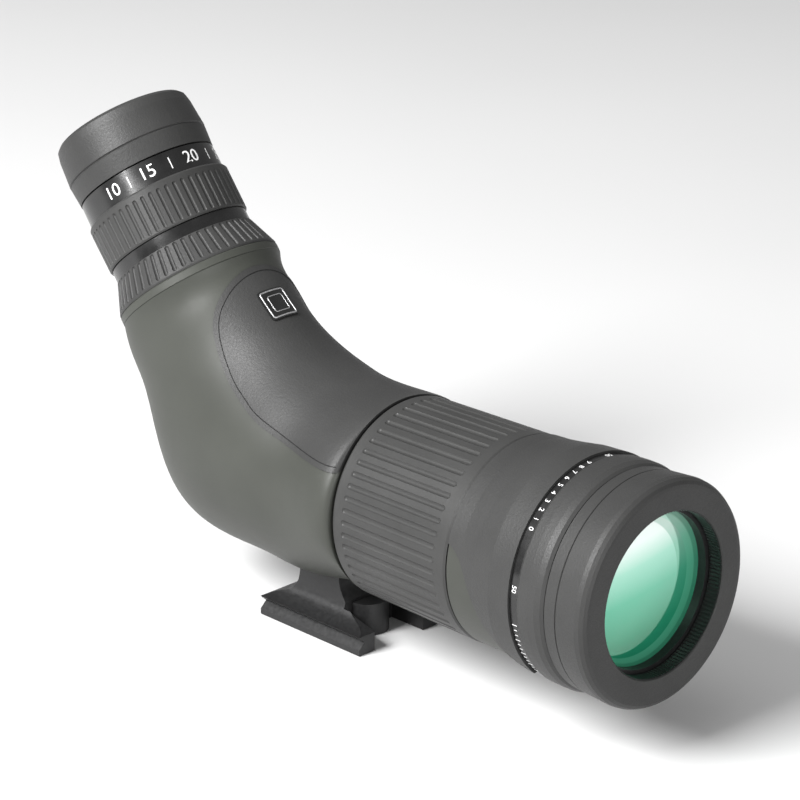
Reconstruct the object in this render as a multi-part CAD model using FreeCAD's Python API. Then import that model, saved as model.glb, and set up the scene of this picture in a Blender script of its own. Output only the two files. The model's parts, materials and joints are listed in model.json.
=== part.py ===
"""Compact angled zoom spotting scope, 50 mm objective, with a dovetail tripod foot.

Frame: millimetres, +X towards the scene, +Z up, origin on the foot's underside at the tripod thread.
The objective axis runs along X at height AXIS_H. The eyepiece axis leaves it at EYE_CROSS_X and
climbs backwards at EYE_ANGLE. Distances along the eyepiece axis, from that crossing, are called s.
"""

import FreeCAD, Part
import math
import os

from FreeCAD import Matrix, Vector

# Driving dimensions
AXIS_H = 52.0  # objective axis above the foot's underside
FRONT_X = 136.5  # front face of the sunshade
EYE_CROSS_X = -32.5  # where the two optical axes meet
EYE_ANGLE = 51.0  # climb of the eyepiece axis, degrees
GAP = 0.3  # running gap between parts that move past each other
FIT = 0.06  # radial clearance of a sliding or turning fit
WALL = 2.5  # casting wall

# Objective end, stations along X
RING_REAR, RING_FRONT = 27.0, 77.9  # focus ring
SHELL_END = 106.7  # front of the painted shell
BAND_REAR, BAND_FRONT, BAND_R = 106.8, 109.7, 36.1  # scale band
BUMPER_FRONT = 120.0
SHADE_REAR = 120.4
SHADE_R_OUT = 34.3
SHADE_TUBE_REAR = 111.6  # the sunshade tube runs back under the bumper
TUBE_R_OUT, TUBE_R_IN = 29.0, 27.5  # focus tube
BARREL_REAR, BARREL_R_OUT, BARREL_R_IN = 86.0, 33.2, 28.6  # objective barrel
APERTURE_R = 26.5
SKIRT_X = FRONT_X - 5.2  # rear end of the lip's inner skirt, just ahead of the objective cell
LENS_EDGE_X = FRONT_X - 7.5
LENS_R = 26.0
RING_GROOVES = 52
RING_R_REAR, RING_R_FRONT = 33.4, 34.1

# Prisms and their cage
BULKHEAD_X = 10.0  # rear face of the housing's front bulkhead
CAGE_FLOOR_Z = 38.9
PRISM_HALF = 13.0

# Eyepiece, stations along s
NECK_S = 59.2
COLLAR_S0, COLLAR_S1 = 62.3, 72.9
INDEX_S1 = 77.1
GRIP_S1 = 93.5
SCALE_S1 = 101.8
CUP_S0, CUP_S1 = 102.3, 123.1
EYE_TUBE_R_OUT, EYE_TUBE_R_IN = 20.0, 18.5
ZOOM_GROOVES = 54

# Armour on the inner bend: how far it stands proud of the housing and is let into it
SADDLE_PROUD, SADDLE_DEPTH = 0.6, 0.7
BADGE_AT, BADGE_LEAN, BADGE_SIDE = (-33.0, 0.0, 101.9), 39.0, 11.2

# Motion
FOCUS_PIN_X, FOCUS_TRAVEL = 50.0, 6.0
ZOOM_PIN_S = (66.0, 88.0)
ZOOM_TRAVEL = (6.0, -4.0)
CUP_TRAVEL = 8.0

# Foot
FOOT_LEN, FOOT_W, RAIL_W = 47.0, 36.0, 7.0
BAY_DEPTH = 14.5  # gap between the rails at the front
BOSS_R, BOSS_H = 7.0, 11.0  # round boss standing in that gap
NECK_HALF_Y = 9.5
INSERT_R, THREAD_R, INSERT_LEN = 5.0, 2.6, 9.0
SCREW_X, SCREW_Y, SCREW_R, HEAD_R, SCREW_SEAT_Z = -9.2, (-4.6, 4.6), 1.5, 2.5, 3.5
PIN_HOLE_X, PIN_HOLE_R, PIN_HOLE_DEPTH = -15.5, 2.3, 5.0  # anti-twist pin

# Side profile of the prism housing: top point, bottom point and half width of each rib
HOUSING_RIBS = [
    ((26.5, 84.9), (26.5, 18.9), 33.2),
    ((8.4, 84.9), (2.6, 17.6), 32.9),
    ((-7.3, 87.5), (-23.2, 17.5), 31.9),
    ((-18.4, 91.9), (-49.5, 18.0), 31.1),
    ((-27.6, 97.7), (-68.6, 24.8), 29.1),
    ((-35.3, 104.0), (-78.4, 40.8), 27.8),
    ((-41.7, 109.7), (-84.9, 60.4), 27.5),
]
# Lower edge of the saddle armour and rear edge of the barrel armour, seen from the side
SADDLE_EDGE = [
    (30.0, 68.4), (25.2, 68.3), (15.4, 68.2), (4.7, 68.9), (-4.8, 70.6), (-16.2, 73.7), (-22.5, 76.6), (-29.4, 80.5),
    (-35.2, 85.6), (-39.5, 91.0), (-42.2, 96.0), (-43.5, 100.6), (-43.9, 105.4), (-44.0, 110.0), (-44.0, 118.0),
]
WAVE_EDGE = [(76.0, 61.5), (83.0, 58.5), (88.0, 50.0), (92.5, 40.5), (98.0, 32.5), (104.0, 26.0), (109.0, 24.0)]


def axis_matrix(direction, origin):
    """Matrix carrying local +Z onto direction, local +Y onto +Y, and the local origin onto origin."""
    z = Vector(*direction)
    y = Vector(0, 1, 0)
    x = y.cross(z)
    return Matrix(x.x, y.x, z.x, origin[0], x.y, y.y, z.y, origin[1], x.z, y.z, z.z, origin[2], 0, 0, 0, 1)


RAD = math.radians(EYE_ANGLE)
EYE_DIR = (-math.cos(RAD), 0.0, math.sin(RAD))
MAIN = axis_matrix((1, 0, 0), (0, 0, AXIS_H))
EYE = axis_matrix(EYE_DIR, (EYE_CROSS_X, 0, AXIS_H))


def place(shape, matrix):
    return shape.transformed(matrix, True)


def turned(profile, matrix):
    """Solid of revolution from (station, radius) points, about the local Z axis of matrix."""
    points = [Vector(r, 0, s) for s, r in profile]
    face = Part.Face(Part.makePolygon(points + points[:1]))
    return place(face.revolve(Vector(0, 0, 0), Vector(0, 0, 1), 360), matrix)


def sleeve(s0, s1, r_in, r_out, matrix):
    return turned([(s0, r_in), (s1, r_in), (s1, r_out), (s0, r_out)], matrix)


def disc(s0, s1, r, matrix):
    return place(Part.makeCylinder(r, s1 - s0, Vector(0, 0, s0)), matrix)


def around(shape, count, start=0.0):
    """Copies of a local shape turned evenly about local Z."""
    return [shape.copy().rotate(Vector(), Vector(0, 0, 1), start + 360.0 * i / count) for i in range(count)]


def pins(s, r0, r1, radius, matrix, count=2):
    pin = Part.makeCylinder(radius, r1 - r0, Vector(r0, 0, s), Vector(1, 0, 0))
    return Part.makeCompound([place(p, matrix) for p in around(pin, count)])


def slots(s0, s1, r0, r1, half, matrix, count=2):
    """Radial cutters for straight slots with rounded ends."""
    bar = Part.makeBox(r1 - r0, 2 * half, s1 - s0, Vector(r0, -half, s0))
    for s in (s0, s1):
        bar = bar.fuse(Part.makeCylinder(half, r1 - r0, Vector(r0, 0, s), Vector(1, 0, 0)))
    return Part.makeCompound([place(b, matrix) for b in around(bar, count)])


def fluted(profile, start, end, radius, depth, count, matrix):
    """A turned sleeve with round-ended flutes cut along it, from start to end as (station, surface radius)."""
    (s0, r0), (s1, r1) = start, end
    first = Vector(r0 + radius - depth, 0, s0)
    last = Vector(r1 + radius - depth, 0, s1)
    flute = Part.makeCylinder(radius, (last - first).Length, first, last - first)
    flute = flute.fuse([Part.makeSphere(radius, first), Part.makeSphere(radius, last)]).removeSplitter()
    return turned(profile, matrix).cut([place(f, matrix) for f in around(flute, count, 180.0 / count)])


def rib_wire(top, bottom, half_width):
    """Ellipse through top and bottom in the XZ plane, half_width wide along Y."""
    t, b = Vector(top[0], 0, top[1]), Vector(bottom[0], 0, bottom[1])
    centre, tall = (t + b) * 0.5, (t - b) * 0.5
    up, side = tall / tall.Length, Vector(0, 1, 0)
    a = tall.Length
    curve = Part.Circle(Vector(0, 0, 0), Vector(0, 0, 1), 1).toBSpline()
    wire = Part.Wire(curve.toShape())
    normal = up.cross(side)
    m = Matrix(
        up.x * a, side.x * half_width, normal.x, centre.x,
        up.y * a, side.y * half_width, normal.y, centre.y,
        up.z * a, side.z * half_width, normal.z, centre.z,
        0, 0, 0, 1,
    )
    return wire.transformGeometry(m)


def neck_rib(s, radius):
    """The same kind of rib, as a circle square to the eyepiece axis."""
    cx, cz = EYE_CROSS_X + EYE_DIR[0] * s, AXIS_H + EYE_DIR[2] * s
    dx, dz = radius * EYE_DIR[2], -radius * EYE_DIR[0]
    return ((cx + dx, cz + dz), (cx - dx, cz - dz), radius)


def housing_loft(grow):
    """The housing's outer form, grown outwards by grow."""
    wires = []
    for top, bottom, half in HOUSING_RIBS + [neck_rib(NECK_S, 28.8)]:
        t, b = Vector(top[0], 0, top[1]), Vector(bottom[0], 0, bottom[1])
        step = (t - b).normalize() * grow
        t, b = t + step, b - step
        wires.append(rib_wire((t.x, t.z), (b.x, b.z), half + grow))
    return Part.makeLoft(wires, True, False)


def side_prism(edge, closing, half_width=60.0):
    """Prism along Y over the region between a smooth edge and the closing points, all in the XZ plane."""
    spline = Part.BSplineCurve()
    spline.interpolate([Vector(x, -half_width, z) for x, z in edge])
    points = [edge[-1]] + closing + [edge[0]]
    lines = Part.makePolygon([Vector(x, -half_width, z) for x, z in points]).Edges
    wire = Part.Wire([spline.toShape()] + lines)
    return Part.Face(wire).extrude(Vector(0, 2 * half_width, 0))


def prism_housing(outer):
    """Cast shell with a thick bored bulkhead at each end and a screw boss above the foot."""
    inner = housing_loft(-WALL)
    inner = inner.cut(disc(BULKHEAD_X, 60.0, 60.0, MAIN)).cut(disc(51.0, 90.0, 60.0, EYE))
    boss = Part.makeBox(12.0, 18.0, 12.0, Vector(SCREW_X - 6.0, -9.0, 12.0)).common(outer)
    body = outer.cut(inner).fuse(boss)
    body = body.cut(disc(5.0, 40.0, 21.0, MAIN)).cut(disc(20.0, 40.0, TUBE_R_OUT, MAIN))
    return body.cut(disc(45.0, 70.0, EYE_TUBE_R_IN - 1.5, EYE)).cut(disc(54.0, 70.0, EYE_TUBE_R_OUT, EYE))


def saddle_armour():
    """Rubber over the inner bend, bedded in a shallow pocket of the housing."""
    above = 140.0
    region = side_prism(SADDLE_EDGE, [(SADDLE_EDGE[-1][0], above), (SADDLE_EDGE[0][0], above)])
    region = region.cut(disc(RING_REAR - 0.5, 60.0, 60.0, MAIN))
    return housing_loft(SADDLE_PROUD).common(region).cut(housing_loft(-SADDLE_DEPTH))


def badge_plate():
    """Blank square plate on the crest of the inner bend, its underside following the armour."""
    lean = math.radians(BADGE_LEAN)
    tilt = axis_matrix((math.sin(lean), 0, math.cos(lean)), BADGE_AT)
    half = BADGE_SIDE / 2
    block = Part.makeBox(BADGE_SIDE, BADGE_SIDE, 6.0, Vector(-half, -half, -3.0))
    block = block.makeFillet(1.0, [e for e in block.Edges if abs(e.tangentAt(e.FirstParameter).z) > 0.9])
    return place(block, tilt).common(housing_loft(SADDLE_PROUD + 0.5)).cut(housing_loft(SADDLE_PROUD))


def barrel_parts():
    """Front barrel: painted shell, rubber armour over it, inner tube, scale band and bumper."""
    r_in = BARREL_R_OUT
    rear, skin = [(78.2, 33.8), (92.0, 34.2), (SHELL_END, 35.4)], [(78.2, 34.4), (84.0, 34.6), (90.0, 35.3)]
    shell = [(78.2, TUBE_R_OUT)] + rear + [(SHELL_END, r_in), (BARREL_REAR, r_in), (BARREL_REAR, TUBE_R_OUT)]
    armour = rear[:1] + skin + [(98.0, 36.5), (SHELL_END, 36.9)] + rear[:0:-1]
    bumper = [
        (109.7, r_in), (109.7, 36.2), (110.5, 36.6), (114.0, 36.75), (117.0, 36.7), (119.0, 36.2),
        (BUMPER_FRONT, 35.5), (BUMPER_FRONT, SHADE_R_OUT + GAP), (111.2, SHADE_R_OUT + GAP), (111.2, r_in),
    ]
    return {
        "barrel_shell": turned(shell, MAIN),
        "barrel_armour": turned(armour, MAIN).cut(side_prism(WAVE_EDGE, [(109.0, 0.0), (76.0, 0.0)])),
        "objective_barrel": sleeve(BARREL_REAR, 132.0, BARREL_R_IN, r_in, MAIN),
        "scale_band": sleeve(BAND_REAR, BAND_FRONT, r_in, BAND_R, MAIN),
        "front_bumper": turned(bumper, MAIN),
    }


def sunshade_parts():
    """Sliding hood: a metal tube under the bumper and a rubber nose with a rounded lip and an inner skirt."""
    seat, skirt_r = FRONT_X - 2.6, BARREL_R_IN - 0.4
    nose = [
        (SHADE_REAR, SHADE_R_OUT), (SHADE_REAR, 35.7), (124.6, 35.9), (124.9, 35.5), (125.2, 36.0), (133.0, 36.5),
        (134.6, 36.3), (135.8, 35.6), (136.4, 34.6), (FRONT_X, 33.6), (FRONT_X, APERTURE_R + 0.3),
        (FRONT_X - 0.3, APERTURE_R), (SKIRT_X, APERTURE_R), (SKIRT_X, skirt_r), (seat, skirt_r), (seat, SHADE_R_OUT),
    ]
    tube = sleeve(SHADE_TUBE_REAR, seat, BARREL_R_OUT + FIT, SHADE_R_OUT, MAIN)
    return {"sunshade_tube": tube, "sunshade_rubber": turned(nose, MAIN)}


def objective_parts():
    """Air-spaced doublet in a threaded cell, held by a retaining ring."""
    rim = 25.0
    cell = [(112.0, 24.0), (112.0, BARREL_R_IN), (131.0, BARREL_R_IN), (131.0, LENS_R), (114.0, LENS_R), (114.0, 24.0)]
    front = lens(LENS_EDGE_X - 4.0, LENS_EDGE_X - 1.2, LENS_R - 0.05, 2.6, 2.0, MAIN)
    rear = lens(LENS_EDGE_X - 11.0, LENS_EDGE_X - 8.0, LENS_R - 0.05, -1.6, 0.6, MAIN)
    return {
        "objective_cell": turned(cell, MAIN),
        "objective_front_lens": front,
        "objective_rear_lens": rear,
        "lens_spacer": sleeve(LENS_EDGE_X - 8.0, LENS_EDGE_X - 4.0, rim, LENS_R, MAIN).cut([front, rear]),
        "lens_retaining_ring": sleeve(LENS_EDGE_X - 1.2, 131.0, rim, LENS_R, MAIN).cut(front),
        "lens_seat_ring": sleeve(114.0, LENS_EDGE_X - 11.0, rim, LENS_R, MAIN).cut(rear),
        "objective_baffle": turned([(88.0, 20.0), (88.0, BARREL_R_IN), (90.0, BARREL_R_IN), (90.0, 21.0)], MAIN),
    }


def lens(s0, s1, r, bulge_front, bulge_rear, matrix):
    """A lens edged from s0 to s1. Positive bulges are convex, negative ones concave."""
    edges = [
        Part.LineSegment(Vector(0, 0, s0 - bulge_rear), Vector(0, 0, s1 + bulge_front)),
        dome(Vector(0, 0, s1 + bulge_front), Vector(r, 0, s1), s1, bulge_front),
        Part.LineSegment(Vector(r, 0, s1), Vector(r, 0, s0)),
        dome(Vector(r, 0, s0), Vector(0, 0, s0 - bulge_rear), s0, -bulge_rear),
    ]
    face = Part.Face(Part.Wire([e.toShape() for e in edges]))
    return place(face.revolve(Vector(), Vector(0, 0, 1), 360), matrix)


def dome(a, b, base, height):
    """Arc between an axis point and a rim point whose sphere has the given sagitta."""
    r = max(a.x, b.x)
    big = (r * r + height * height) / (2 * abs(height))
    sign = 1 if height > 0 else -1
    centre = base + height - sign * big
    half = math.asin(r / big) / 2
    mid = Vector(big * math.sin(half), 0, centre + sign * big * math.cos(half))
    return Part.Arc(a, mid, b)


def focus_parts():
    """Focus tube with two straight slots, the ring that turns on it, and the lens carriage inside."""
    reach = FOCUS_TRAVEL + 0.3
    tube = sleeve(20.0, 86.0, TUBE_R_IN, TUBE_R_OUT, MAIN)
    tube = tube.cut(slots(FOCUS_PIN_X - reach, FOCUS_PIN_X + reach, 26.0, 31.0, 1.7, MAIN))
    rear, front = RING_REAR + GAP, RING_FRONT - GAP
    inner, skin = TUBE_R_OUT + FIT, 32.6
    groove = FOCUS_TRAVEL + 2.2
    core = [(rear, inner), (FOCUS_PIN_X - groove, inner), (FOCUS_PIN_X - groove, 31.4), (FOCUS_PIN_X + groove, 31.4)]
    core += [(FOCUS_PIN_X + groove, inner), (front, inner), (front, skin), (rear, skin)]
    grip = [(rear, skin), (rear, RING_R_REAR - 0.5), (rear + 0.8, RING_R_REAR), (front - 0.8, RING_R_FRONT)]
    grip += [(front, RING_R_FRONT - 0.4), (front, skin)]
    ends = (RING_REAR + 5.5, RING_R_REAR + 0.05), (RING_FRONT - 6.0, RING_R_FRONT - 0.05)
    bore = TUBE_R_IN - FIT
    carriage = [(44.0, 21.0), (44.0, bore), (58.0, bore), (58.0, 20.0), (55.0, 20.0), (55.0, 21.0)]
    drill = pins(FOCUS_PIN_X, 20.0, 29.0, 1.2, MAIN)
    return {
        "focus_tube": tube,
        "focus_ring_core": turned(core, MAIN),
        "focus_ring_grip": fluted(grip, *ends, 1.25, 0.5, RING_GROOVES, MAIN),
        "focus_carriage": turned(carriage, MAIN).cut(drill),
        "focus_lens": lens(49.0, 51.5, 21.0, -1.2, -1.0, MAIN).cut(drill),
        "focus_drive_pins": pins(FOCUS_PIN_X, 21.2, 31.1, 1.2, MAIN),
        "focus_lens_ring": sleeve(51.5, 55.0, 18.5, 21.0, MAIN),
    }


def optical_prisms():
    """Roof prism and half-penta prism, with an air gap, in a U-shaped cage bolted behind the front bulkhead."""
    roof = flat_solid([(-20.0, CAGE_FLOOR_Z), (-20.0, 65.0), (-30.5, 71.5), (-46.0, CAGE_FLOOR_Z)], PRISM_HALF)
    penta = [(-32.0, 72.4), (-38.1, 76.6), (-57.5, 61.0), (-56.0, CAGE_FLOOR_Z), (-47.6, CAGE_FLOOR_Z)]
    flange = sleeve(BULKHEAD_X - 2.5, BULKHEAD_X, 14.5, 29.0, MAIN)
    length = BULKHEAD_X - 2.5 + 58.5
    floor = Part.makeBox(length, 30.0, 2.5, Vector(-58.5, -15.0, CAGE_FLOOR_Z - 2.5))
    sides = [Part.makeBox(length, 1.6, 27.0, Vector(-58.5, y, CAGE_FLOOR_Z)) for y in (-15.0, 13.4)]
    cage = floor.fuse(sides).fuse(flange).removeSplitter()
    heads = around(Part.makeCylinder(2.2, 1.6, Vector(25.0, 0, BULKHEAD_X - 4.1)), 4, 45.0)
    shanks = around(Part.makeCylinder(1.2, 8.1, Vector(25.0, 0, BULKHEAD_X - 4.1)), 4, 45.0)
    drills = Part.makeCompound([place(s, MAIN) for s in shanks])
    screws = Part.makeCompound([place(h.fuse(s).removeSplitter(), MAIN) for h, s in zip(heads, shanks)])
    return {
        "roof_prism": roof,
        "penta_prism": flat_solid(penta, PRISM_HALF),
        "prism_cage": cage.cut(drills),
        "prism_clip": prism_clip(),
        "cage_screws": screws,
    }, drills


def prism_clip():
    """Thin spring strap over the sloping top of the roof prism, its legs tucked between prism and cage."""
    slope = (65.0 - 71.5) / (-20.0 + 30.5)
    rear, front = (-28.0, 71.5 + 2.5 * slope), (-23.0, 71.5 + 7.5 * slope)
    lift = 0.9
    top = [(front[0] + 0.5, front[1] + lift), (rear[0] + 0.5, rear[1] + lift)]
    strap = flat_solid([rear, front] + top, 13.4)
    leg = flat_solid([(rear[0], 60.0), (front[0], 60.0), front, rear], 0.2)
    legs = [leg.translated(Vector(0, y, 0)) for y in (-13.2, 13.2)]
    return strap.fuse(legs).removeSplitter()


def flat_solid(points, half_width):
    wire = Part.makePolygon([Vector(x, -half_width, z) for x, z in points + points[:1]])
    return Part.Face(wire).extrude(Vector(0, 2 * half_width, 0))


def zoom_group(name, pin_s, power):
    """One moving zoom group: carriage, lens and the two pins that ride in the cam tube."""
    bore = EYE_TUBE_R_IN - FIT
    pin = pins(pin_s, 13.0, 19.0, 0.9, EYE)
    return {
        name + "_carriage": sleeve(pin_s - 4, pin_s + 4, 14.0, bore, EYE).cut(pin),
        name + "_lens": lens(pin_s - 3.0, pin_s + 1.0, 13.95, power, power, EYE),
        name + "_pins": pins(pin_s, 14.2, 21.3, 0.9, EYE),
    }


def zoom_ring_parts(runs):
    """Cam tube, ring core, ribbed grip and scale band, which turn as one."""
    inner, recess, outer, skin = EYE_TUBE_R_OUT + FIT, 21.6, 22.3, 23.4
    cam = [(60.5, outer), (60.5, inner)]
    for lo, hi in runs:
        cam += [(lo - 2.0, inner), (lo - 2.0, recess), (hi + 2.0, recess), (hi + 2.0, inner)]
    cam += [(99.0, inner), (99.0, outer)]
    base = INDEX_S1 + GAP
    grip = [(base, skin), (base, 25.0), (base + 0.5, 25.3), (GRIP_S1 - 0.6, 25.4), (GRIP_S1, 25.0), (GRIP_S1, skin)]
    ends = (base + 1.4, 25.35), (GRIP_S1 - 3.0, 25.4)
    return {
        "zoom_cam_tube": turned(cam, EYE),
        "zoom_ring_core": sleeve(base, SCALE_S1, outer, skin, EYE),
        "zoom_grip": fluted(grip, *ends, 0.8, 0.5, ZOOM_GROOVES, EYE),
        "zoom_scale_band": turned([(GRIP_S1, skin), (GRIP_S1, 24.4), (SCALE_S1, 24.2), (SCALE_S1, skin)], EYE),
    }


def eye_lens_parts():
    """Fixed eye-end group: cell, field lens, spacer and eye lens."""
    bore, r = EYE_TUBE_R_IN, 15.0
    cell = [(96.0, r), (96.0, bore), (100.0, bore), (100.0, EYE_TUBE_R_OUT), (112.5, EYE_TUBE_R_OUT)]
    cell += [(112.5, 13.0), (111.0, 13.0), (111.0, r)]
    eye = lens(106.5, 110.9, r - 0.05, 1.2, 1.8, EYE)
    field = lens(99.0, 101.5, r - 0.05, 1.4, 1.0, EYE)
    return {
        "eye_lens_cell": turned(cell, EYE).cut(eye),
        "eye_lens": eye,
        "field_lens": field,
        "eye_lens_spacer": sleeve(101.5, 106.5, 13.6, r - 0.05, EYE).cut([eye, field]),
    }


def eyecup_parts():
    """Twist-up eyecup: lift ring, sleeve and rolled rubber rim."""
    skin, lip = 23.4, 20.3
    sleeve_profile = [(CUP_S0, 21.3), (CUP_S0, skin), (117.0, skin), (117.0, lip), (115.2, lip), (113.8, 21.3)]
    rubber = [
        (CUP_S0, skin), (CUP_S0, 24.4), (109.0, 24.9), (109.4, 24.6), (109.8, 25.0), (119.0, 24.3), (121.8, 23.7),
        (CUP_S1 - 0.2, 22.6), (CUP_S1, 21.2), (CUP_S1 - 0.3, 18.6), (121.0, 17.4), (118.0, 17.0), (117.0, 17.4),
        (117.0, skin),
    ]
    return {
        "eyecup_lift_ring": sleeve(103.6, 107.2, EYE_TUBE_R_OUT + FIT, 21.0, EYE),
        "eyecup_sleeve": turned(sleeve_profile, EYE),
        "eyecup_rubber": turned(rubber, EYE),
    }


def eyepiece_parts():
    """Everything on the eyepiece axis, from the neck ring to the eyecup."""
    runs = [sorted((p, p + t)) for p, t in zip(ZOOM_PIN_S, ZOOM_TRAVEL)]
    tube = sleeve(54.0, 100.0, EYE_TUBE_R_IN, EYE_TUBE_R_OUT, EYE)
    for lo, hi in runs:
        tube = tube.cut(slots(lo - 0.3, hi + 0.3, 17.0, 21.5, 1.4, EYE))
    base, bore = COLLAR_S0 - 0.1, 22.8
    collar = [(base, bore), (base, 28.7), (base + 0.6, 28.8), (COLLAR_S1, 24.9), (COLLAR_S1, bore)]
    flute_ends = (COLLAR_S0 + 1.6, 28.2), (COLLAR_S1 - 0.8, 25.2)
    neck = [(NECK_S, bore), (NECK_S, 28.6), (NECK_S + 0.3, 28.9), (base - 0.5, 28.9), (base, 28.5), (base, bore)]
    parts = {
        "neck_ring": turned(neck, EYE),
        "eyepiece_tube": tube,
        "eyepiece_collar": fluted(collar, *flute_ends, 0.8, 0.55, ZOOM_GROOVES, EYE),
        "index_ring": sleeve(COLLAR_S1, INDEX_S1, bore, 24.6, EYE),
    }
    parts.update(zoom_ring_parts(runs))
    parts.update(zoom_group("zoom_front", ZOOM_PIN_S[0], 1.3))
    parts.update(zoom_group("zoom_rear", ZOOM_PIN_S[1], -1.0))
    parts.update(eye_lens_parts())
    parts.update(eyecup_parts())
    return parts


def spline_face(outline, curved):
    """Planar face whose outline is a polyline, with each run named in curved replaced by a smooth curve."""
    edges, i = [], 0
    ring = outline + outline[:1]
    while i < len(outline):
        run = next((j for a, j in curved if a == i), None)
        if run:
            curve = Part.BSplineCurve()
            curve.interpolate(ring[i : run + 1])
            edges.append(curve.toShape())
            i = run
        else:
            edges.append(Part.makeLine(ring[i], ring[i + 1]))
            i += 1
    return Part.Face(Part.Wire(edges))


def foot_block():
    """Dovetail block whose top flares up to a waisted neck, concave on all four sides."""
    half = FOOT_W / 2
    left = [(-half, 0.0), (-half, 2.0), (-half + 2.4, 4.2), (-half, 6.4)]
    flare = [(-half, 6.4), (-14.0, 7.6), (-11.2, 9.6), (-NECK_HALF_Y - 0.6, 13.0), (-NECK_HALF_Y, 22.0)]
    side = left + flare[1:]
    section = [Vector(-FOOT_LEN / 2, y, z) for y, z in side]
    section += [Vector(-FOOT_LEN / 2, -y, z) for y, z in reversed(side)]
    n = len(side)
    block = spline_face(section, [(3, n - 1), (n, 2 * n - 4)]).extrude(Vector(FOOT_LEN, 0, 0))
    front = [(23.6, 6.4), (17.0, 8.2), (10.5, 10.8), (7.4, 14.0), (6.0, 22.0)]
    rear = [(-23.6, 6.4), (-19.0, 8.3), (-15.4, 10.0), (-13.6, 13.0), (-13.0, 22.0)]
    for curve in (front, rear):
        beyond = math.copysign(30.0, curve[0][0])
        outline = [Vector(x, -40.0, z) for x, z in curve + [(beyond, 22.0), (beyond, 6.4)]]
        block = block.cut(spline_face(outline, [(0, len(curve) - 1)]).extrude(Vector(0, 80.0, 0)))
    return block


def foot_parts(outer):
    """Foot on a pedestal that follows the housing's belly, bolted on from below."""
    bay_x = FOOT_LEN / 2 - BAY_DEPTH
    bay = Part.makeBox(BAY_DEPTH + 1, FOOT_W - 2 * RAIL_W, 30.0, Vector(bay_x, RAIL_W - FOOT_W / 2, -1.0))
    boss = Part.makeCylinder(BOSS_R, BOSS_H, Vector(bay_x, 0, 0))
    foot = foot_block().cut(bay).fuse(boss).cut(outer)
    hole = Part.makeCylinder(INSERT_R, INSERT_LEN)
    insert = hole.cut(Part.makeCylinder(THREAD_R, INSERT_LEN))
    screws, drills = [], []
    for y in SCREW_Y:
        seat = Vector(SCREW_X, y, SCREW_SEAT_Z)
        shank = Part.makeCylinder(SCREW_R, 19.0, seat)
        head = Part.makeCylinder(HEAD_R, 3.0, seat)
        screws.append(head.fuse(shank).removeSplitter().cut(Part.makeCylinder(1.2, 1.5, seat)))
        drills += [shank, Part.makeCylinder(HEAD_R, SCREW_SEAT_Z + 3.0, Vector(SCREW_X, y, 0))]
    pin_hole = Part.makeCylinder(PIN_HOLE_R, PIN_HOLE_DEPTH, Vector(PIN_HOLE_X, 0, 0))
    foot = foot.cut([hole, pin_hole] + drills)
    foot = max(foot.Solids, key=lambda s: s.Volume).removeSplitter()
    return {"tripod_foot": foot, "thread_insert": insert, "foot_screws": Part.makeCompound(screws)}, drills


def all_parts():
    outer = housing_loft(0.0)
    prisms, cage_drills = optical_prisms()
    foot, foot_drills = foot_parts(outer)
    saddle = saddle_armour()
    housing = prism_housing(outer).cut([cage_drills, saddle] + foot_drills)
    parts = {"prism_housing": housing, "saddle_armour": saddle, "badge_plate": badge_plate()}
    for group in (barrel_parts(), sunshade_parts(), objective_parts(), focus_parts(), prisms, eyepiece_parts(), foot):
        parts.update(group)
    return parts


def main():
    os.makedirs("parts", exist_ok=True)
    for name, shape in all_parts().items():
        good = shape.isValid() and all(s.Volume > 0 for s in shape.Solids)
        print(name, len(shape.Solids), round(shape.Volume), "ok" if good else "BAD")
        shape.exportStep(f"parts/{name}.step")


main()
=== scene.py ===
import json
import math

import bmesh
import bpy
from mathutils import Matrix, Vector
from mathutils.bvhtree import BVHTree


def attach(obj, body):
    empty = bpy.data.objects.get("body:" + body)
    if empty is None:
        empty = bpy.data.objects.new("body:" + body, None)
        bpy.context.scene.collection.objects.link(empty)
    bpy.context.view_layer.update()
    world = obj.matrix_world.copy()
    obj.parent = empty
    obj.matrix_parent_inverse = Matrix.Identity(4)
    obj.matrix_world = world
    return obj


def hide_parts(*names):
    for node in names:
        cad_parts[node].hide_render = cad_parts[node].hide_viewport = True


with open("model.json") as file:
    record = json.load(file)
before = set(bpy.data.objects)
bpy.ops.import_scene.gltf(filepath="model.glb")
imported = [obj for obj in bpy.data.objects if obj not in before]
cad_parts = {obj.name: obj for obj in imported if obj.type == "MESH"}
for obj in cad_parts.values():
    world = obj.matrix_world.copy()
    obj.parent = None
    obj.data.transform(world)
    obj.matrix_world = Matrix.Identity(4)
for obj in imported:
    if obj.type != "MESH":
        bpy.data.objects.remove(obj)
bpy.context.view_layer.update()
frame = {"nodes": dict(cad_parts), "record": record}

NODES = frame["nodes"]
MM = 0.001

# The two optical axes: the main one level at AXIS_H, the eyepiece's rising to the rear from EYE_ORIGIN
AXIS_H = 52.0 * MM
EYE_ANGLE = math.radians(51.0)
EYE_ORIGIN = Vector((-32.5 * MM, 0, AXIS_H))
EYE_DIR = Vector((-math.cos(EYE_ANGLE), 0, math.sin(EYE_ANGLE)))


def axis_matrix(direction, origin):
    """Local +Z along direction, local +Y along +Y."""
    z = Vector(direction).normalized()
    y = Vector((0, 1, 0))
    x = y.cross(z)
    rows = [(x[i], y[i], z[i], origin[i]) for i in range(3)]
    return Matrix(rows + [(0, 0, 0, 1)])


MAIN = axis_matrix((1, 0, 0), (0, 0, AXIS_H))
EYE = axis_matrix(EYE_DIR, EYE_ORIGIN)


# ---------------------------------------------------------------- materials

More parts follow.
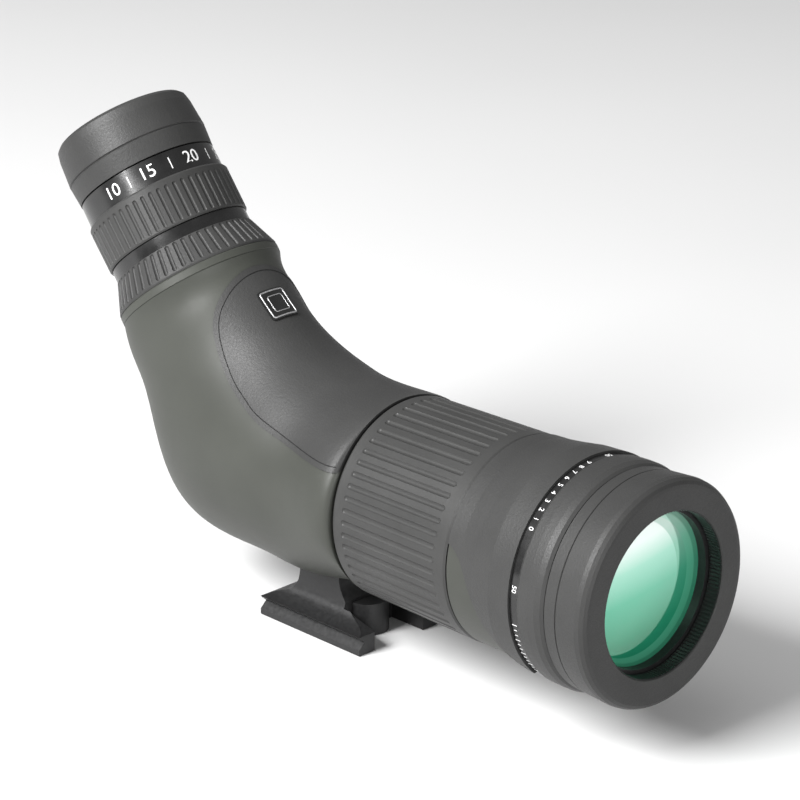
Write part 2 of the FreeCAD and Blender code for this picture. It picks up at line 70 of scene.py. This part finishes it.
class Mat:
    """A node material under construction: one Principled shader and helpers that add nodes."""

    def __init__(self, name, **sockets):
        self.mat = bpy.data.materials.new(name)
        self.mat.use_nodes = True
        self.tree = self.mat.node_tree
        self.shader = self.tree.nodes["Principled BSDF"]
        for key, value in sockets.items():
            self.shader.inputs[key.replace("_", " ")].default_value = value
        self.coords = self.tree.nodes.new("ShaderNodeTexCoord")

    def node(self, kind, inputs=(), **props):
        n = self.tree.nodes.new("ShaderNode" + kind)
        for key, value in props.items():
            setattr(n, key, value)
        for key, value in dict(inputs).items():
            self.feed(n.inputs[key], value)
        return n

    def feed(self, socket, value):
        if isinstance(value, bpy.types.NodeSocket):
            self.tree.links.new(value, socket)
        else:
            socket.default_value = value

    def noise(self, scale, detail=4.0, rough=0.55):
        vector = self.coords.outputs["Object"]
        n = self.node("TexNoise", {"Vector": vector, "Scale": scale, "Detail": detail, "Roughness": rough})
        return n.outputs["Fac"]

    def spread(self, value, low, high, lo=0.3, hi=0.7):
        """Value's range lo to hi mapped to low to high."""
        ranges = {"From Min": lo, "From Max": hi, "To Min": low, "To Max": high}
        return self.node("MapRange", {"Value": value, **ranges}).outputs["Result"]

    def blend(self, factor, a, b):
        n = self.node("Mix", data_type="RGBA")
        self.feed(n.inputs["Factor"], factor)
        self.feed(n.inputs["A"], a)
        self.feed(n.inputs["B"], b)
        return n.outputs["Result"]

    def set(self, key, value):
        self.feed(self.shader.inputs[key], value)

    def bump(self, height, distance, strength=1.0, base=None):
        n = self.node("Bump", {"Height": height, "Distance": distance, "Strength": strength})
        if base is not None:
            self.feed(n.inputs["Normal"], base)
        return n.outputs["Normal"]


def grey(v, tint=(1.0, 1.0, 1.0)):
    return (v * tint[0], v * tint[1], v * tint[2], 1.0)


def rubber(name, dark, light, tint, rough=(0.5, 0.62), grain=0.00005, scale=2600.0):
    m = Mat(name, Specular_IOR_Level=0.3)
    cloud = m.noise(38.0, 3.0)
    fine = m.noise(scale, 3.0, 0.6)
    m.set("Base Color", m.blend(m.spread(cloud, 0.0, 1.0), grey(dark, tint), grey(light, tint)))
    m.set("Roughness", m.spread(fine, rough[0], rough[1]))
    cells = {"Vector": m.coords.outputs["Object"], "Scale": scale * 0.5}
    pores = m.node("TexVoronoi", cells, feature="SMOOTH_F1")
    first = m.bump(pores.outputs["Distance"], grain * 0.6, 0.6)
    m.set("Normal", m.bump(fine, grain, 0.7, first))
    return m.mat


def paint(name, dark, light, tint):
    m = Mat(name, Specular_IOR_Level=0.3)
    cloud = m.noise(30.0, 4.0)
    fine = m.noise(4200.0, 2.0)
    m.set("Base Color", m.blend(m.spread(cloud, 0.0, 1.0), grey(dark, tint), grey(light, tint)))
    m.set("Roughness", m.spread(fine, 0.42, 0.52))
    m.set("Normal", m.bump(fine, 0.000025, 0.55))
    return m.mat


def gloss_black(name):
    m = Mat(name)
    smudge = m.noise(120.0, 4.0)
    m.set("Base Color", m.blend(m.spread(smudge, 0.0, 1.0), grey(0.006), grey(0.012)))
    m.set("Roughness", m.spread(smudge, 0.16, 0.28))
    m.set("Normal", m.bump(m.noise(1500.0), 0.000006, 0.5))
    return m.mat


def metal(name, low, high, tint, rough, metallic=1.0):
    m = Mat(name, Metallic=metallic)
    streak = m.noise(900.0, 3.0, 0.5)
    m.set("Base Color", m.blend(m.spread(streak, 0.0, 1.0), grey(low, tint), grey(high, tint)))
    m.set("Roughness", m.spread(streak, rough[0], rough[1]))
    m.set("Normal", m.bump(streak, 0.00002, 0.4))
    return m.mat


def mark_white(name):
    m = Mat(name)
    wear = m.noise(1400.0, 3.0)
    m.set("Base Color", m.blend(m.spread(wear, 0.0, 1.0), grey(0.55), grey(0.8)))
    m.set("Roughness", m.spread(wear, 0.4, 0.6))
    return m.mat


def glass(name, tint):
    m = Mat(name, Transmission_Weight=0.9, IOR=1.5, Alpha=0.55)
    haze = m.noise(60.0, 3.0)
    paler = tuple(min(1.0, c * 1.08) for c in tint)
    m.set("Base Color", m.blend(m.spread(haze, 0.0, 1.0), (*tint, 1.0), (*paler, 1.0)))
    m.set("Roughness", m.spread(haze, 0.03, 0.054))
    return m.mat


def lens_with_painted_light(name, centre, radius, highlight_side, stops, arcs=()):
    """Coated glass with painted light: green tones darkening towards one side and paling into a painted
    highlight towards the other, faint arcs of painted reflection and a dark edge.
    """
    m = Mat(name, Metallic=0.3, Coat_Weight=1.0, Coat_Roughness=0.02)

    def vector_math(operation, output, *values):
        return m.node("VectorMath", dict(enumerate(values)), operation=operation).outputs[output]

    offset = vector_math("SUBTRACT", "Vector", m.coords.outputs["Object"], centre)
    # How far a point lies towards the highlight side sets its place on the painted highlight ramp
    along = vector_math("DOT_PRODUCT", "Value", offset, highlight_side)
    radial = vector_math("LENGTH", "Value", offset)
    ramp = m.node("ValToRGB", {"Fac": m.spread(along, 0.0, 1.0, -radius, radius)})
    elements = ramp.color_ramp.elements
    for element, (pos, colour) in zip(elements, (stops[0], stops[-1])):
        element.position, element.color = pos, (*colour, 1)
    for pos, colour in stops[1:-1]:
        elements.new(pos).color = (*colour, 1)
    tone = ramp.outputs["Color"]
    # Each arc paints a reflection of an inner ring over the tone
    for shift, size, width, strength, reflection_colour in arcs:
        moved = vector_math("SUBTRACT", "Vector", offset, shift)
        reach = vector_math("LENGTH", "Value", moved)
        inside = m.spread(reach, 0.0, strength, size, size + width)
        tone = m.blend(inside, tone, (*reflection_colour, 1))
    edge = m.spread(radial, 0.0, 1.0, radius * 0.955, radius * 0.99)
    m.set("Base Color", m.blend(edge, tone, (0.002, 0.02, 0.012, 1)))
    m.set("Roughness", m.spread(m.noise(45.0, 2.0), 0.05, 0.09))
    return m.mat


# Place on the ramp and its colour: painted light across the lens, deep green at the start and a painted
# highlight at the end
GREEN_HIGHLIGHT_STOPS = (
    (0.0, (0.006, 0.13, 0.065)), (0.25, (0.015, 0.27, 0.14)), (0.5, (0.09, 0.45, 0.29)),
    (0.68, (0.34, 0.70, 0.55)), (0.82, (0.86, 0.97, 0.93)), (1.0, (0.92, 0.98, 0.95)),
)
# Painted reflections of inner rings: centre off the lens's own, radius, edge width, strength and colour
REFLECTION_ARCS = (
    ((0.0, -0.0075, 0.0030), 0.0205, 0.0004, 0.42, (0.02, 0.30, 0.16)),
    ((0.0, -0.0040, 0.0015), 0.0222, 0.0003, 0.35, (0.16, 0.62, 0.40)),
    ((0.0, -0.0015, 0.0005), 0.0236, 0.0006, 0.45, (0.008, 0.16, 0.08)),
)

OLIVE = (0.97, 1.02, 0.88)
ARMOUR = rubber("armour_rubber", 0.026, 0.034, (1.0, 1.0, 0.985), (0.42, 0.56), 0.00011, 2100.0)
GRIP = rubber("grip_rubber", 0.028, 0.036, (1.0, 1.0, 0.98), (0.4, 0.54))
PAINT = paint("olive_paint", 0.036, 0.045, OLIVE)
LINE = rubber("groove_black", 0.006, 0.01, (1, 1, 1), (0.7, 0.8))
BLACK = gloss_black("black_gloss")
ANODISED = metal("black_anodised", 0.012, 0.02, (1, 1, 1.02), (0.32, 0.45), 0.2)
FOOT = metal("foot_metal", 0.018, 0.026, (1, 1, 1.02), (0.36, 0.48), 0.35)
BRASS = metal("brass", 0.45, 0.55, (1.0, 0.78, 0.38), (0.25, 0.4))
STEEL = metal("steel", 0.42, 0.55, (1, 1, 1.02), (0.25, 0.4))
WHITE = mark_white("mark_white")
PRISM = glass("prism_glass", (0.82, 0.9, 0.88))
INNER = glass("inner_lens", (0.35, 0.8, 0.6))
# Both lenses get a painted highlight on their upper side; the front lens also gets painted reflections of
# inner rings
FRONT_LENS = lens_with_painted_light(
    "objective_coating_painted_highlight", (130.0 * MM, 0.0, AXIS_H), 26.0 * MM, (0.0, -0.12, 0.99), GREEN_HIGHLIGHT_STOPS, REFLECTION_ARCS
)
EYE_GLASS = lens_with_painted_light(
    "eye_coating_painted_highlight", tuple(EYE_ORIGIN + EYE_DIR * 0.111), 15.0 * MM, (0.3, 0.5, 0.8), GREEN_HIGHLIGHT_STOPS
)
RIM = metal("rim_metal", 0.30, 0.42, (1, 1, 1.01), (0.3, 0.42), 0.6)
LINER = rubber("liner_black", 0.012, 0.02, (1, 1, 1), (0.3, 0.45), 0.00002)

SLOTS = {
    "olive_paint": PAINT, "armour_rubber": ARMOUR, "grip_rubber": GRIP, "black_gloss": BLACK,
    "badge_satin": BLACK, "black_anodised": ANODISED, "foot_metal": FOOT, "lens_glass": INNER,
    "prism_glass": PRISM, "brass": BRASS, "steel": STEEL, "spring_steel": STEEL,
}
COATED = {"objective_front_lens": FRONT_LENS, "eye_lens": EYE_GLASS}


def dress(obj, material):
    obj.data.materials.clear()
    obj.data.materials.append(material)


for part in frame["record"]["subparts"]:
    dress(NODES[part["node"]], COATED.get(part["node"], SLOTS[part["material_slot"]]))


# ---------------------------------------------------------------- detail pieces

def add_piece(name, mesh, material, body):
    obj = bpy.data.objects.new(name, mesh)
    bpy.context.scene.collection.objects.link(obj)
    dress(obj, material)
    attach(obj, body)
    return obj


def smooth_path(points, steps=10):
    """Catmull-Rom curve through the points."""
    ends = [points[0]] + list(points) + [points[-1]]
    path = []
    for a, b, c, d in zip(ends, ends[1:], ends[2:], ends[3:]):
        for k in range(steps):
            t = k / steps
            square, cube = 2 * a - 5 * b + 4 * c - d, 3 * b - a - 3 * c + d
            path.append(0.5 * (2 * b + (c - a) * t + square * t * t + cube * t ** 3))
    return path + [points[-1]]


def tube_piece(name, points, radius, material, body):
    """A fine round line swept along the points."""
    curve = bpy.data.curves.new(name, "CURVE")
    curve.dimensions = "3D"
    curve.bevel_depth = radius
    curve.bevel_resolution = 2
    spline = curve.splines.new("POLY")
    spline.points.add(len(points) - 1)
    for p, co in zip(spline.points, points):
        p.co = (*co, 1)
    holder = bpy.data.objects.new(name + "_path", curve)
    bpy.context.scene.collection.objects.link(holder)
    bpy.context.view_layer.update()
    mesh = bpy.data.meshes.new_from_object(holder.evaluated_get(bpy.context.evaluated_depsgraph_get()))
    bpy.data.objects.remove(holder)
    return add_piece(name, mesh, material, body)


# Side view of the saddle armour's lower and rear edge, in millimetres
SADDLE_EDGE = [
    (26.4, 68.3), (15.4, 68.2), (4.7, 68.9), (-4.8, 70.6), (-16.2, 73.7), (-22.5, 76.6), (-29.4, 80.5),
    (-35.2, 85.6), (-39.5, 91.0), (-42.2, 96.0), (-43.5, 100.6), (-43.9, 105.4), (-44.0, 108.0),
]
SADDLE_LINE_INSET, SADDLE_LINE_RADIUS = 1.6 * MM, 0.17 * MM
BESIDE, ABOVE = -80.0 * MM, 160.0 * MM  # where the rays start, clear of the armour


def saddle_line():
    """The engraved line just inside the armour's edge: up one side, over the crest and down the other."""
    tree = BVHTree.FromObject(NODES["saddle_armour"], bpy.context.evaluated_depsgraph_get())
    path = smooth_path([Vector((x * MM, 0, z * MM)) for x, z in SADDLE_EDGE])
    side = []
    for a, p, b in zip(path, path[1:], path[2:]):
        along = (b - a).normalized()
        q = p + Vector((along.z, 0, -along.x)) * SADDLE_LINE_INSET
        hit = tree.ray_cast(Vector((q.x, BESIDE, q.z)), Vector((0, 1, 0)))[0]
        if hit:
            side.append(hit)
    last = side[-1]
    crest = []
    for k in range(1, 20):
        hit = tree.ray_cast(Vector((last.x, last.y * (1 - k / 10), ABOVE)), Vector((0, 0, -1)))[0]
        if hit:
            crest.append(hit)
    mirrored = [Vector((p.x, -p.y, p.z)) for p in reversed(side)]
    whole = side + crest + mirrored
    tube_piece("saddle_line", whole, SADDLE_LINE_RADIUS, LINE, "scope_body")


# The badge's centre, its lean forward and the length of its side
BADGE_AT, BADGE_LEAN, BADGE_SIDE = (-33.0 * MM, 0.0, 101.9 * MM), math.radians(39.0), 11.2 * MM
BADGE_CORNER = 0.8 * MM
# Inset from the badge's edge and radius of each frame
BADGE_FRAMES = {"badge_rim": (0.75 * MM, 0.28 * MM), "badge_inner_rim": (2.6 * MM, 0.16 * MM)}


def rounded_square(half, corner):
    """Points round a square, anticlockwise: an arc at each corner and evenly divided sides."""
    arcs = []
    for quarter in range(4):
        turn = quarter * math.pi / 2
        cx = math.copysign(half - corner, math.cos(turn + math.pi / 4))
        cy = math.copysign(half - corner, math.sin(turn + math.pi / 4))
        angles = [turn + k * math.pi / 10 for k in range(6)]
        arcs.append([(cx + corner * math.cos(a), cy + corner * math.sin(a)) for a in angles])
    loop = []
    for arc, following in zip(arcs, arcs[1:] + arcs[:1]):
        (x0, y0), (x1, y1) = arc[-1], following[0]
        loop += arc + [(x0 + (x1 - x0) * t / 8, y0 + (y1 - y0) * t / 8) for t in range(1, 8)]
    return loop


def badge_rim():
    """Raised bright frame and a plain inner frame on the blank badge."""
    tree = BVHTree.FromObject(NODES["badge_plate"], bpy.context.evaluated_depsgraph_get())
    outward = Vector((math.sin(BADGE_LEAN), 0, math.cos(BADGE_LEAN)))
    tilt = axis_matrix(outward, BADGE_AT)
    for name, (inset, radius) in BADGE_FRAMES.items():
        loop = rounded_square(BADGE_SIDE / 2 - inset, BADGE_CORNER)
        points = []
        for x, y in loop + loop[:1]:
            hit = tree.ray_cast(tilt @ Vector((x, y, 20.0 * MM)), -outward)[0]
            if hit:
                points.append(hit)
        tube_piece(name, points, radius, RIM, "scope_body")


def ring(bm, radii, x):
    """Vertices evenly round the main axis at station x, one for each radius."""
    step = 2 * math.pi / len(radii)
    places = [(r * math.cos(step * k), r * math.sin(step * k), x) for k, r in enumerate(radii)]
    return [bm.verts.new(MAIN @ Vector(place)) for place in places]


def hood_liner():
    """Finely serrated black liner inside the hood's lip."""
    teeth, rear, front = 132, 131.5 * MM, 135.9 * MM
    tip, root, back = 26.14 * MM, 26.44 * MM, 26.49 * MM
    bm = bmesh.new()
    rings = [(ring(bm, [tip, root] * teeth, x), ring(bm, [back] * teeth * 2, x)) for x in (rear, front)]
    (a_in, a_out), (b_in, b_out) = rings
    count = teeth * 2
    for k in range(count):
        n = (k + 1) % count
        bm.faces.new((a_in[k], b_in[k], b_in[n], a_in[n]))
        bm.faces.new((a_out[n], b_out[n], b_out[k], a_out[k]))
        bm.faces.new((a_in[n], a_out[n], a_out[k], a_in[k]))
        bm.faces.new((b_in[k], b_out[k], b_out[n], b_in[n]))
    bmesh.ops.recalc_face_normals(bm, faces=bm.faces)
    mesh = bpy.data.meshes.new("hood_liner")
    bm.to_mesh(mesh)
    bm.free()
    add_piece("hood_liner", mesh, LINER, "sunshade")


def polished_lens():
    """The front element with an evenly meshed face, the size of the node it replaces."""
    rim_x, rise, radius, rear_x = 127.8 * MM, 2.58 * MM, 25.93 * MM, 124.9 * MM
    sphere = (radius ** 2 + rise ** 2) / (2 * rise)
    segments, rows = 96, 28
    bm = bmesh.new()
    pole = bm.verts.new(MAIN @ Vector((0, 0, rim_x + rise)))
    loops = []
    for i in range(1, rows + 1):
        r = radius * i / rows
        loops.append(ring(bm, [r] * segments, rim_x + rise - (sphere - math.sqrt(sphere ** 2 - r ** 2))))
    loops.append(ring(bm, [radius] * segments, rear_x))
    for k in range(segments):
        n = (k + 1) % segments
        bm.faces.new((pole, loops[0][k], loops[0][n]))
        for a, b in zip(loops, loops[1:]):
            bm.faces.new((a[k], b[k], b[n], a[n]))
    bm.faces.new(list(reversed(loops[-1])))
    bmesh.ops.recalc_face_normals(bm, faces=bm.faces)
    mesh = bpy.data.meshes.new("polished_lens")
    bm.to_mesh(mesh)
    bm.free()
    for face in mesh.polygons:
        face.use_smooth = len(face.vertices) < segments  # all but the flat back
    lens = add_piece("polished_lens", mesh, FRONT_LENS, "scope_body")
    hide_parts("objective_front_lens")


def wrapped_text(text, size, matrix, station, radius, angle):
    """Mesh of a text, wrapped on a cylinder about the local Z axis of matrix."""
    curve = bpy.data.curves.new("glyphs", "FONT")
    curve.body = text
    curve.size = size
    curve.align_x = "CENTER"
    curve.align_y = "CENTER"
    curve.extrude = 0.03 * MM
    curve.resolution_u = 3
    holder = bpy.data.objects.new("glyphs", curve)
    bpy.context.scene.collection.objects.link(holder)
    bpy.context.view_layer.update()
    mesh = bpy.data.meshes.new_from_object(holder.evaluated_get(bpy.context.evaluated_depsgraph_get()))
    bpy.data.objects.remove(holder)
    for v in mesh.vertices:
        turn = angle + v.co.x / radius
        r = radius + v.co.z
        v.co = matrix @ Vector((r * math.cos(turn), r * math.sin(turn), station + v.co.y))
    return mesh


def tick(matrix, station, length, width, radius, angle):
    """Mesh of a small raised bar along the local Z axis of matrix."""
    thickness, chamfer = 0.06 * MM, 0.02 * MM
    bm = bmesh.new()
    bmesh.ops.create_cube(bm, size=1.0)
    bmesh.ops.scale(bm, vec=(thickness, width, length), verts=bm.verts)
    bmesh.ops.bevel(bm, geom=bm.edges[:], offset=chamfer, segments=1, affect="EDGES")
    place = matrix @ Matrix.Rotation(angle, 4, "Z") @ Matrix.Translation((radius, 0, station))
    bmesh.ops.transform(bm, matrix=place, verts=bm.verts)
    mesh = bpy.data.meshes.new("tick")
    bm.to_mesh(mesh)
    bm.free()
    return mesh


def joined(name, meshes, material, body):
    """One piece made of the meshes."""
    bm = bmesh.new()
    for mesh in meshes:
        bm.from_mesh(mesh)
        bpy.data.meshes.remove(mesh)
    whole = bpy.data.meshes.new(name)
    bm.to_mesh(whole)
    bm.free()
    return add_piece(name, whole, material, body)


def zoom_marks():
    """Magnification numbers and ticks round the zoom ring's black band."""
    radius, middle, height = 24.33 * MM, 97.6 * MM, 6.2 * MM
    tick_length, tick_width, tick_radius = 4.0 * MM, 0.35 * MM, radius + 0.02 * MM
    parts = []
    for text, turn in (("10", -70), ("15", -38), ("20", 2), ("25", 42), ("30", 80)):
        parts.append(wrapped_text(text, height, EYE, middle, radius, math.radians(turn)))
    for turn in (-54, -18, 22, 61):
        parts.append(tick(EYE, middle, tick_length, tick_width, tick_radius, math.radians(turn)))
    joined("zoom_marks", parts, WHITE, "zoom_ring")


def band_marks():
    """Digits and ticks round the black band behind the bumper."""
    radius, middle, height = 36.11 * MM, 108.25 * MM, 2.5 * MM
    long_tick, short_tick, tick_width = 1.9 * MM, 1.2 * MM, 0.28 * MM
    parts = []
    for k, text in enumerate("9876543210"):
        parts.append(wrapped_text(text, height, MAIN, middle, radius, math.radians(-174 + 5.2 * k)))
    for turn in (-188, -97):
        parts.append(wrapped_text("50", height, MAIN, middle, radius, math.radians(turn)))
    for k in range(12):
        length = short_tick if k % 3 else long_tick
        parts.append(tick(MAIN, middle, length, tick_width, radius, math.radians(-78 + 3 * k)))
    joined("band_marks", parts, WHITE, "scope_body")


saddle_line()
badge_rim()
hood_liner()
polished_lens()
zoom_marks()
band_marks()


# ---------------------------------------------------------------- stage, light and camera

def stage_floor():
    mesh = bpy.data.meshes.new("floor")
    bm = bmesh.new()
    bmesh.ops.create_grid(bm, x_segments=8, y_segments=8, size=4.0)
    bm.to_mesh(mesh)
    bm.free()
    floor = bpy.data.objects.new("floor", mesh)
    bpy.context.scene.collection.objects.link(floor)
    m = Mat("floor_paper")
    tone = m.noise(2.0, 2.0)
    m.set("Base Color", m.blend(m.spread(tone, 0.0, 1.0), grey(0.62), grey(0.65)))
    m.set("Roughness", m.spread(tone, 0.9, 0.95))
    dress(floor, m.mat)
    floor.location.z = -0.2 * MM


def area_light(name, place, target, size, power):
    light = bpy.data.lights.new(name, "AREA")
    light.shape = "RECTANGLE"
    light.size, light.size_y = size
    light.energy = power
    obj = bpy.data.objects.new(name, light)
    obj.location = place
    obj.rotation_euler = (Vector(target) - Vector(place)).to_track_quat("-Z", "Y").to_euler()
    bpy.context.scene.collection.objects.link(obj)


def lights():
    """Lamps, sizes in metres and powers in watts, and an even pale surround."""
    centre = (0.0, 0.0, 0.07)
    area_light("key_left", (-0.25, -1.25, 1.1), centre, (0.7, 0.7), 64.0)
    area_light("front_fill", (1.4, -0.45, 0.4), centre, (0.6, 0.6), 10.0)
    area_light("overhead", (-0.3, -0.5, 1.9), centre, (1.6, 1.6), 8.0)
    world = bpy.data.worlds.new("studio")
    bpy.context.scene.world = world
    world.use_nodes = True
    background = world.node_tree.nodes["Background"]
    background.inputs["Color"].default_value = (1, 1, 1, 1)
    background.inputs["Strength"].default_value = 0.34


# The view: azimuth and elevation, focal length as a share of the picture's width, place in metres
VIEW_AZIMUTH, VIEW_ELEVATION = math.radians(45.33), math.radians(20.92)
VIEW_FOCAL = 3358.0 / 800.0
VIEW_FROM = (0.7316, -0.6995, 0.4643)
SENSOR_WIDTH = 36.0


def camera():
    az, el = VIEW_AZIMUTH, VIEW_ELEVATION
    back = Vector((math.sin(az) * math.cos(el), -math.cos(az) * math.cos(el), math.sin(el)))
    right = Vector((math.cos(az), math.sin(az), 0))
    up = back.cross(right)
    data = bpy.data.cameras.new("camera")
    data.sensor_width = SENSOR_WIDTH
    data.lens = VIEW_FOCAL * SENSOR_WIDTH
    data.clip_start = 0.05
    obj = bpy.data.objects.new("camera", data)
    rows = [[right[i], up[i], back[i]] for i in range(3)]
    obj.matrix_world = Matrix.Translation(VIEW_FROM) @ Matrix(rows).to_4x4()
    bpy.context.scene.collection.objects.link(obj)
    bpy.context.scene.camera = obj


stage_floor()
lights()
camera()
bpy.context.scene.view_settings.view_transform = "Standard"
